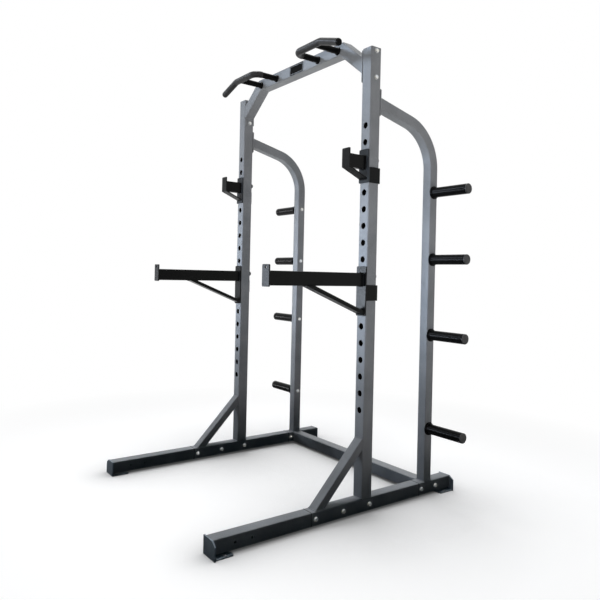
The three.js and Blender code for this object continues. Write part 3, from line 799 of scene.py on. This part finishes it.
# %% [markdown]
# ## Bent rear posts
# A rear post is one square tube. It rises from the rail, bends forward over a wide round and
# ends on a plate against the upright. The section is carried along the bend in small steps and
# stays square to the path, except at the top, where it is cut flush with the plate.

# %% Bend the posts
POST = 50 * MM
POST_CORNER = 5 * MM
POST_SLOPE = math.radians(13.2)
POST_BEND = 215 * MM
POST_PLATE = 6 * MM
POST_PLATE_HALF = 61 * MM
POST_PLATE_CORNER = 8 * MM
POST_STEPS = 28
SEAT = 0.3 * MM


def bent_square(name, path, size, corner):
    """A square tube, closed at its ends, along a path in the plane of Y and Z."""
    rings = []
    for i, place in enumerate(path):
        before = (place - path[i - 1]).normalized() if i else (path[1] - place).normalized()
        after = (path[i + 1] - place).normalized() if i + 1 < len(path) else before
        ahead = (before + after).normalized()
        cut = -Y if i + 1 == len(path) else ahead
        section = outline(place, X, X.cross(ahead), size, size, corner)
        rings.append([
            point + ahead * ((place - point).dot(cut) / ahead.dot(cut)) for point in section
        ])
    return skin(name, rings)


for side, _ in SIDES:
    node = f"{side}_rear_post"
    low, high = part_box(node)
    x = (low.x + high.x) / 2
    y = high.y - POST / 2
    head = Vector((x, low.y + POST_PLATE - SEAT, high.z - POST_PLATE_HALF))
    knee = Vector((x, y, head.z - math.tan(POST_SLOPE) * (y - head.y)))
    path = rounded_path([Vector((x, y, low.z)), knee, head], [POST_BEND], POST_STEPS)
    tube = bent_square("post", path, POST, POST_CORNER)
    plate_middle = Vector((x, low.y + POST_PLATE, head.z))
    plate = slab("top_plate", plate_middle, TUBE, 2 * POST_PLATE_HALF, POST_PLATE, POST_PLATE_CORNER)
    mesh = combined(node, plate, tube, "UNION")
    piece(f"{side}_bent_post", mesh, "frame", "grey_coat", node)
print("post height:", round(high.z - low.z, 3), "faces:", len(mesh.polygons))

# %% [markdown]
# ## Plate pegs
# A peg is a tube welded to a round flange, with a plastic cap in its open end. Turning one
# profile gives the tube, with a small fillet of weld at the flange, and a second one the cap. A
# shallow groove shows where they meet.

# %% Turn the pegs
PEG_RADIUS = 24 * MM
PEG_FLANGE = 5 * MM
PEG_WELD = 4 * MM
PEG_END = 5 * MM
PEG_GROOVE = 1.2 * MM
PEG_ROUND = 3 * MM
PEG_EDGE = 0.5 * MM
PEG_SIDES = 64
PEG_COUNT = 4
EIGHTHS = [step * math.pi / 8 for step in range(5)]
QUARTER_ROUND = [(1 - math.cos(turn), 1 - math.sin(turn)) for turn in EIGHTHS]


def peg_profiles(reach, flange):
    """The profile of the tube with its flange, and that of the cap in its end."""
    groove = reach - PEG_END
    fillet = [(PEG_FLANGE + PEG_WELD * a, PEG_RADIUS + PEG_WELD * b) for a, b in QUARTER_ROUND]
    rim = [(reach - PEG_ROUND * b, PEG_RADIUS - PEG_ROUND * a) for a, b in QUARTER_ROUND]
    tube = [
        (0, flange / 2),
        (0, flange),
        (PEG_FLANGE, flange),
        *fillet,
        (groove - PEG_GROOVE, PEG_RADIUS),
        (groove - PEG_GROOVE / 2, PEG_RADIUS - PEG_GROOVE / 2),
    ]
    cap = [(groove - PEG_GROOVE / 4, PEG_RADIUS - PEG_GROOVE / 2), (groove, PEG_RADIUS), *rim]
    return tube, cap


for side, turn in SIDES:
    for peg in range(1, PEG_COUNT + 1):
        node = f"{side}_plate_peg_{peg}"
        low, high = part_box(node)
        face = low.x if turn > 0 else high.x
        start = Vector((face, (low.y + high.y) / 2, (low.z + high.z) / 2))
        tube, cap = peg_profiles(high.x - low.x, (high.z - low.z) / 2)
        mesh = turned(node, start, X * turn, tube, PEG_SIDES)
        piece(f"{node}_turned", mesh, "frame", "black_coat", node, PEG_EDGE)
        cap_mesh = turned("peg_cap", start, X * turn, cap, PEG_SIDES)
        piece(f"{node}_cap", cap_mesh, "frame", "black_plastic", edges=0)
print("peg reach:", round(high.x - low.x, 3))

# %% [markdown]
# ## Bolts
# Each joint is held by a zinc hexagon bolt, with a washer under its head. Where it goes right
# through, a second washer and a nut follow, with a short thread showing. A hexagon is cut from a
# bar and its corners are turned off at the top: the section is drawn as a hexagon with many
# points, and the last ring is a circle. The thread is a small zigzag in the turned shank.

# %% The parts of a bolt
BOLT_RADIUS = 5 * MM
SHANK_RADIUS = 4.9 * MM
BOLT_SIDES = 28
HEX_WIDTH = 17 * MM
HEX_POINTS = 48
HEX_END_RADIUS = 8.16 * MM
CHAMFER = 1.3 * MM
CHAMFER_BELLY = 0.55
WASHER_THICKNESS = 1.6 * MM
WASHER_RADIUS = 10.5 * MM
WASHER_SIDES = 40
THREAD_PITCH = 1.5 * MM
THREAD_DEPTH = 0.45 * MM


def hexagon(name, start, axis, height):
    """A hexagon bar whose far end is turned down to a circle."""
    sixth = math.pi / 3
    around = spokes(axis, axis.orthogonal().normalized(), HEX_POINTS)
    levels = ((0, 0), (height - CHAMFER, 0), (height - CHAMFER / 2, CHAMFER_BELLY), (height, 1))
    rings = []
    for along, rounding in levels:
        ring = []
        for point, spoke in enumerate(around):
            in_face = (2 * math.pi * point / HEX_POINTS + sixth / 2) % sixth - sixth / 2
            flat = HEX_WIDTH / 2 / math.cos(in_face)
            radius = flat + (HEX_END_RADIUS - flat) * rounding
            ring.append(start + axis * along + spoke * radius)
        rings.append(ring)
    return skin(name, rings)


def washer_and_hexagon(name, face, outward, height):
    """A washer on a face and a hexagon on the washer, together this high."""
    profile = [
        (0, BOLT_RADIUS),
        (0, WASHER_RADIUS),
        (WASHER_THICKNESS, WASHER_RADIUS),
        (WASHER_THICKNESS, BOLT_RADIUS),
    ]
    washer = turned(name, face, outward, profile, WASHER_SIDES)
    on_washer = face + outward * WASHER_THICKNESS
    return [washer, hexagon(name, on_washer, outward, height - WASHER_THICKNESS)]


def threaded_end(name, start, axis, length):
    profile = [(0, BOLT_RADIUS)]
    for step in range(int(length / THREAD_PITCH)):
        along = step * THREAD_PITCH
        profile.append((along + THREAD_PITCH / 2, BOLT_RADIUS - THREAD_DEPTH))
        profile.append((along + THREAD_PITCH, BOLT_RADIUS))
    profile.append((length, BOLT_RADIUS - 2 * THREAD_DEPTH))
    return turned(name, start, axis, profile, BOLT_SIDES)


# %% [markdown]
# ## Where the bolts go
# Each bolt fills the box of its loaded node. The peg bolts end inside their posts, with no nut.

# %% Fit the bolts
HEAD_HEIGHT = 6.5 * MM
NUT_HEIGHT = 8 * MM
THREAD_SHOWING = 3 * MM
BOLT_EDGE = 0.25 * MM
BOLT_KINDS = (("rail_bolt", 5, 1), ("beam_bolt", 2, 1), ("peg_bolt", 4, -1))


def bolt_mesh(name, low, high, outward, has_nut):
    """A bolt as long as its box, with its head on the outward side."""
    middle = (low + high) / 2
    length = high.x - low.x
    head_face = middle + outward * (length / 2 - HEAD_HEIGHT)
    bottom = middle - outward * (length / 2)
    showing = THREAD_SHOWING if has_nut else 0
    shank = [(0, SHANK_RADIUS), (length - HEAD_HEIGHT - showing, SHANK_RADIUS)]
    parts = washer_and_hexagon(name, head_face, outward, HEAD_HEIGHT)
    parts.append(turned(name, head_face, -outward, shank, BOLT_SIDES))
    if has_nut:
        nut_face = bottom + outward * (NUT_HEIGHT + showing)
        parts += washer_and_hexagon(name, nut_face, -outward, NUT_HEIGHT)
        parts.append(threaded_end(name, bottom + outward * showing, -outward, showing))
    return joined(name, parts)


for side, turn in SIDES:
    for kind, count, facing in BOLT_KINDS:
        for number in range(1, count + 1):
            node = f"{side}_{kind}_{number}"
            low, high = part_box(node)
            mesh = bolt_mesh(node, low, high, X * (turn * facing), kind != "peg_bolt")
            piece(f"{node}_turned", mesh, "frame", "zinc", node, BOLT_EDGE)
print("bolts on each side:", sum(count for _, count, _ in BOLT_KINDS))

# %% [markdown]
# ## Pull-up handles
# A handle is one bent tube and a short stub, each with a cone collar where it is welded to the
# beam. The bends must run smoothly, so the path gets fine rounds and the section many sides. The
# stub is joined to the bar as one closed mesh. The rubber grip over the bar follows the same
# path, a little thicker and shorter.

# %% Bend the handles
HANDLE_RADIUS = 15 * MM
HANDLE_SIDES = 40
HANDLE_STEPS = 16
HANDLE_INNER = 181.5 * MM
HANDLE_STUB = 334 * MM
STUB_RADIUS = 14.925 * MM
HANDLE_OUTER = 376 * MM
HANDLE_REACH = 139 * MM
HANDLE_TIP_RUN = 131 * MM
HANDLE_TIP_FALL = 42 * MM
INNER_BEND = 42 * MM
OUTER_BEND = 70 * MM
HANDLE_DROP = 6 * MM
HANDLE_EDGE = 0.4 * MM
GRIP_THICKNESS = 1.8 * MM
GRIP_END = 3 * MM
GRIP_EDGE = 0.3 * MM
COLLAR_PROFILE = [(SEAT, 19 * MM), (3.3 * MM, 19 * MM), (9 * MM, 15.03 * MM)]
COLLAR_SIDES = 48


def handle_parts(name, turn, front, height):
    """The bar with its stub and collars, and the grip that is pulled over it."""
    def spot(x, back, drop=0.0):
        return Vector((turn * x, front - back, height - drop))

    def bar_along(path, radius):
        return swept(name, path, [radius] * len(path), HANDLE_SIDES)

    corners = [
        spot(HANDLE_INNER, SEAT),
        spot(HANDLE_INNER, HANDLE_REACH),
        spot(HANDLE_OUTER, HANDLE_REACH),
        spot(HANDLE_OUTER + HANDLE_TIP_RUN, HANDLE_REACH, HANDLE_TIP_FALL),
    ]
    path = rounded_path(corners, (INNER_BEND, OUTER_BEND), HANDLE_STEPS)
    tip = (path[-1] - path[-2]).normalized()
    grip = bar_along(path[1:-1] + [path[-1] - tip * GRIP_END], HANDLE_RADIUS + GRIP_THICKNESS)
    stub = bar_along([spot(HANDLE_STUB, SEAT), spot(HANDLE_STUB, HANDLE_REACH)], STUB_RADIUS)
    mesh = combined(name, bar_along(path, HANDLE_RADIUS), stub, "UNION")
    for x in (HANDLE_INNER, HANDLE_STUB):
        collar = turned(name, spot(x, 0), -Y, COLLAR_PROFILE, COLLAR_SIDES)
        mesh = combined(name, mesh, collar, "UNION")
    return mesh, grip


beam_low, beam_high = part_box("pullup_beam")
beam_middle = beam_high.z - TUBE / 2
for side, turn in SIDES:
    node = f"{side}_pullup_handle"
    mesh, grip = handle_parts(node, turn, beam_low.y, beam_middle - HANDLE_DROP)
    piece(f"{side}_bent_handle", mesh, "frame", "black_coat", node, HANDLE_EDGE)
    piece(f"{side}_handle_grip", grip, "frame", "grip_rubber", edges=GRIP_EDGE)
print("handle faces:", len(mesh.polygons))

# %% [markdown]
# ## Weld beads
# The frame is welded wherever a tube meets a plate. A bead is a thin roll of steel with a
# ripple for each pulse of the torch, and it is coated with everything else. Each bead runs round
# the outline of its tube on the face that it meets, and its radius swells and shrinks on the
# way. Where two tubes are equally wide there is no corner to fill at the sides, so only two
# short beads are laid.

# %% Beads along any path
BEAD_RADIUS = 2.2 * MM
BEAD_END_RADIUS = 0.88 * MM
BEAD_SIDES = 8
RIPPLE_PITCH = 3.6 * MM
RIPPLE_SHARE = 0.16
STEPS_PER_RIPPLE = 4


def evenly(path, endless):
    """The same path with points at an even small step."""
    step = RIPPLE_PITCH / STEPS_PER_RIPPLE
    ends = path[1:] + path[:1] if endless else path[1:]
    points = []
    carried = 0.0
    for start, end in zip(path, ends):
        length = (end - start).length
        along = carried
        while along < length:
            points.append(start.lerp(end, along / length))
            along += step
        carried = along - length
    return points


def bead(name, path, body="frame", finish="grey_coat", endless=True):
    points = evenly(path, endless)
    radii = [
        BEAD_RADIUS * (1 + RIPPLE_SHARE * math.sin(2 * math.pi * i / STEPS_PER_RIPPLE))
        for i in range(len(points))
    ]
    if not endless:
        radii[0] = radii[-1] = BEAD_END_RADIUS
    mesh = swept(name, points, radii, BEAD_SIDES, endless)
    piece(name, mesh, body, finish, edges=0)


def two_beads(name, centre, along, across, length, width, body="frame", finish="grey_coat"):
    """A short straight bead on each side of a joint."""
    for end, sign in (("a", 1), ("b", -1)):
        middle = centre + across * (sign * width / 2)
        path = [middle - along * (length / 2), middle + along * (length / 2)]
        bead(f"{name}_{end}", path, body, finish, endless=False)


# %% [markdown]
# ## Welds of the posts and braces
# The rear post stands on the base rail, and its upper end meets a plate. The brace leans from
# the rail to the upright. A slanted tube has a longer outline on the face that it meets, by the
# sine or cosine of its slope.

# %% Beads of a post and a brace
FLAT_RUN = 46 * MM
BRACE_WIDTH = 50 * MM
BRACE_DEPTH = 38 * MM
BRACE_CORNER = 5 * MM
rail_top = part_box("right_upright")[0].z


def weld_post(side, x):
    low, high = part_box(f"{side}_rear_post")
    foot = Vector((x, high.y - POST / 2, rail_top))
    bead(f"{side}_post_foot_weld", outline(foot, X, Y, POST, POST, POST_CORNER))
    head = Vector((x, low.y + POST_PLATE, high.z - POST_PLATE_HALF))
    tall = POST / math.cos(POST_SLOPE)
    bead(f"{side}_post_head_weld", outline(head, X, Z, POST, tall, POST_CORNER))


def weld_brace(side, x, upright_front):
    low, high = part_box(f"{side}_brace")
    rise = math.atan2(high.z - low.z, high.y - low.y)
    long, tall = BRACE_DEPTH / math.sin(rise), BRACE_DEPTH / math.cos(rise)
    foot = Vector((x, low.y + long / 2, rail_top))
    bead(f"{side}_brace_foot_weld", outline(foot, X, Y, BRACE_WIDTH, long, BRACE_CORNER))
    head = Vector((x, upright_front, high.z - tall / 2))
    bead(f"{side}_brace_head_weld", outline(head, X, Z, BRACE_WIDTH, tall, BRACE_CORNER))
    print(side, "brace rises", round(math.degrees(rise), 1), "degrees")


# %% [markdown]
# ## Welds between tubes of one width
# The uprights stand on the rails, the cross-member meets their inner sides, the slanted arms of
# the beam meet its end plates, and the rails end on the plates of the feet. Each joint gets two
# short beads.

# %% Weld both sides of the frame
BEAM_SLOPE = math.radians(38.5)
BEAM_PLATE = 5 * MM
BEAM_KNEE = 356 * MM
FOOT_PLATE = 6 * MM


def weld_cross(side, turn):
    low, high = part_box("rear_crossmember")
    end = Vector((turn * high.x, (low.y + high.y) / 2, rail_top - TUBE / 2))
    two_beads(f"{side}_cross_weld", end, Z, Y, FLAT_RUN, TUBE)


def weld_beam(side, turn, upright_front):
    plate_x = beam_high.x - BEAM_PLATE
    fall = math.tan(BEAM_SLOPE) * (plate_x - BEAM_KNEE)
    end = Vector((turn * plate_x, upright_front + TUBE / 2, beam_middle - fall))
    tall = TUBE / math.cos(BEAM_SLOPE)
    two_beads(f"{side}_beam_weld", end, Y, Z, FLAT_RUN, tall)


def weld_feet(side, x):
    for end in ("front", "rear"):
        low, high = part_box(f"{side}_{end}_foot")
        inner_face = low.y + FOOT_PLATE if end == "front" else high.y - FOOT_PLATE
        middle = Vector((x, inner_face, rail_top - TUBE / 2))
        name = f"{side}_{end}_foot_weld"
        two_beads(name, middle, Z, X, FLAT_RUN, TUBE, finish="rail_painted_shade_coat")


for side, turn in SIDES:
    low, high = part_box(f"{side}_upright")
    x = (low.x + high.x) / 2
    foot = Vector((x, (low.y + high.y) / 2, rail_top))
    two_beads(f"{side}_upright_weld", foot, X, Y, FLAT_RUN, TUBE)
    weld_post(side, x)
    weld_brace(side, x, low.y)
    weld_cross(side, turn)
    weld_beam(side, turn, low.y)
    weld_feet(side, x)

# %% [markdown]
# ## Welds of the hooks and arms
# A bar hook and a spotter arm are plates and tubes welded into one. The arm of each grows out
# of its back plate and ends on a smaller plate. The strap under a hook is flat, so it gets two
# straight beads. The strut under a spotter arm slants from the back plate to the arm.

# %% Weld the hooks and arms
HALF_SPACING = 539 * MM
HOOK_ARM_WIDTH = 30 * MM
HOOK_PLATE = 6 * MM
HOOK_CORNER = 4 * MM
PIN_HEIGHTS = {"bar_hook": 1587 * MM, "spotter_arm": 1062 * MM}
ARM_TOPS = {"bar_hook": 12 * MM, "spotter_arm": 14.5 * MM}
ARM_HEIGHTS = {"bar_hook": 61 * MM, "spotter_arm": 60 * MM}
END_THICKNESS = {"bar_hook": 5 * MM, "spotter_arm": 6 * MM}
STRAP_DROP = 90 * MM
STRAP_RUN = 44 * MM
STRAP_SPAN = 6.6 * MM
STRUT_RISE = math.atan2(117.5, 298.7)
STRUT_DROP = 163 * MM
STRUT_WIDTH = 50 * MM
STRUT_DEPTH = 17 * MM
STRUT_HEAD_Y = -230 * MM
STRUT_HEAD_RUN = 24 * MM


def weld_strap(body, x, plate_front, pin):
    foot = Vector((x, plate_front, pin - STRAP_DROP))
    two_beads(f"{body}_strap_weld", foot, X, Z, STRAP_RUN, STRAP_SPAN, body, "hook_coat")


def weld_strut(body, x, plate_front, pin, under):
    foot = Vector((x, plate_front, pin - STRUT_DROP))
    tall, long = STRUT_DEPTH / math.cos(STRUT_RISE), STRUT_DEPTH / math.sin(STRUT_RISE)
    loop = outline(foot, X, Z, STRUT_WIDTH, tall, HOOK_CORNER)
    bead(f"{body}_strut_foot_weld", loop, body, "hook_coat")
    head = Vector((x, STRUT_HEAD_Y, under))
    two_beads(f"{body}_strut_head_weld", head, X, Y, STRUT_HEAD_RUN, long, body, "hook_coat")


for side, turn in SIDES:
    for kind, pin in PIN_HEIGHTS.items():
        body = f"{side}_{kind}"
        x = turn * HALF_SPACING
        plate_front = beam_low.y - SEAT - HOOK_PLATE
        tip_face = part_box(body)[0].y + END_THICKNESS[kind]
        arm_height = ARM_HEIGHTS[kind]
        arm_middle = pin + ARM_TOPS[kind] - arm_height / 2
        for end, y in (("root", plate_front), ("tip", tip_face)):
            middle = Vector((x, y, arm_middle))
            loop = outline(middle, X, Z, HOOK_ARM_WIDTH, arm_height, HOOK_CORNER)
            bead(f"{body}_{end}_weld", loop, body, "hook_coat")
        if kind == "bar_hook":
            weld_strap(body, x, plate_front, pin)
        else:
            weld_strut(body, x, plate_front, pin, arm_middle - arm_height / 2)

# %% [markdown]
# ## Joints and spare holes in the base rails
# The front leg and the rear stub slide over sleeves. A plastic bushing closes each joint, and its
# black also paints the shade of the gap as a thin dark line round the tube. Each front leg has two
# spare holes, and in each a short black cylinder a little below the surface on both sides paints
# the shade inside the hole.

# %% Close the rail joints
BUSHING_GAP_SHADE = 2.4 * MM
BUSHING_GAP_SHADE_EDGE = 0.2 * MM
PROUD = 0.3 * MM
SPARE_HOLES = (95 * MM, 171 * MM)
HOLE_SHADE_DEPTH = 0.6 * MM
HOLE_SHADE_LENGTH = 5 * MM
HOLE_SHADE_PROFILE = [(0, 5.3 * MM), (HOLE_SHADE_LENGTH, 5.3 * MM)]
HOLE_SHADE_SIDES = 32

for side, turn in SIDES:
    rail_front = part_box(f"{side}_base_rail")[0].y
    stub_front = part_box(f"{side}_rear_stub")[0].y
    width = TUBE + 2 * PROUD
    for joint, y in (("front", rail_front), ("rear", stub_front)):
        centre = Vector((turn * HALF_SPACING, y + BUSHING_GAP_SHADE / 2, rail_top - TUBE / 2))
        # Partly painted shade: the black ring of each bushing also stands for the shade in the gap of
        # the joint.
        ring = slab("bushing", centre, width, width, BUSHING_GAP_SHADE, TUBE_CORNER)
        piece(f"{side}_{joint}_bushing", ring, "frame", "black_plastic", edges=BUSHING_GAP_SHADE_EDGE)
    foot_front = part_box(f"{side}_front_foot")[0].y
    for number, along in enumerate(SPARE_HOLES, 1):
        for face, outward in (("outer", turn), ("inner", -turn)):
            # Painted shade: a short black cylinder in each spare hole stands for the shade inside it.
            wall_x = turn * HALF_SPACING + outward * TUBE / 2
            mouth = Vector((wall_x, foot_front + along, rail_top - TUBE / 2))
            start = mouth - X * (outward * (HOLE_SHADE_DEPTH + HOLE_SHADE_LENGTH))
            plug = turned("plug", start, X * outward, HOLE_SHADE_PROFILE, HOLE_SHADE_SIDES)
            piece(f"{side}_{face}_plug_{number}", plug, "frame", "black_coat", edges=0)
    print(side, "joints at", round(rail_front, 4), "and", round(stub_front, 4))

# %% [markdown]
# ## Floor studs
# Each foot has a tab with a hole for a floor anchor. A low stud with a round flange sits in
# every hole, in the grey of the frame.

# %% Turn the floor studs
TAB_TOP = 5 * MM
TAB_OUT = 39 * MM
TAB_IN = 54 * MM
STUD_MM = ((-4, 4.5), (0, 4.5), (0, 8), (1.2, 8), (1.6, 6.6), (4, 5.8), (5, 4), (5.2, 2))
STUD_PROFILE = [(along * MM, radius * MM) for along, radius in STUD_MM]
STUD_SIDES = 32

for side, turn in SIDES:
    for end, facing in (("front", 1), ("rear", -1)):
        foot_low, foot_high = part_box(f"{side}_{end}_foot")
        plate_y = foot_low.y if facing > 0 else foot_high.y
        start = Vector((turn * (HALF_SPACING + TAB_OUT), plate_y + facing * TAB_IN, TAB_TOP))
        stud = turned("stud", start, Z, STUD_PROFILE, STUD_SIDES)
        piece(f"{side}_{end}_floor_stud", stud, "frame", "grey_coat", edges=0)
print("stud stands at", [round(value, 3) for value in start])

# %% [markdown]
# ## The bare plate on the beam
# The middle of the beam carries a thin black plate with a narrow grey frame a little inside
# its edge, held by a rivet near each end. Plate, frame and field are three rounded rectangles,
# each smaller than the one behind it and standing out a little more.

# %% Rivet the plate
PLATE_WIDTH = 116 * MM
PLATE_HEIGHT = 50 * MM
PLATE_CORNER = 5 * MM
INNER_CORNER = 1 * MM
PLATE_EDGE = 0.15 * MM
PLATE_LAYERS = (
    ("plate", "plate_paint", 0.0, 0.8 * MM),
    ("frame", "grey_coat", 3.8 * MM, 1.1 * MM),
    ("field", "plate_paint", 6.4 * MM, 1.4 * MM),
)
RIVET_INSET = 10 * MM
RIVET_PROFILE = [(0, 2.6 * MM), (0.4 * MM, 2.6 * MM), (1.0 * MM, 1.95 * MM), (1.3 * MM, 0.78 * MM)]
RIVET_SIDES = 24

beam_face = Vector((0, beam_low.y, beam_middle))
for layer, finish, inset, thickness in PLATE_LAYERS:
    width, height = PLATE_WIDTH - 2 * inset, PLATE_HEIGHT - 2 * inset
    corner = max(PLATE_CORNER - inset, INNER_CORNER)
    mesh = slab(layer, beam_face, width, height, thickness, corner)
    piece(f"beam_plate_{layer}", mesh, "frame", finish, edges=PLATE_EDGE)
for side, turn in SIDES:
    start = beam_face + X * (turn * (PLATE_WIDTH / 2 - RIVET_INSET)) - Y * (thickness - SEAT)
    rivet = turned("rivet", start, -Y, RIVET_PROFILE, RIVET_SIDES)
    piece(f"{side}_plate_rivet", rivet, "frame", "black_coat", edges=0)
print("plate on the beam:", round(PLATE_WIDTH, 3), "by", round(PLATE_HEIGHT, 3))
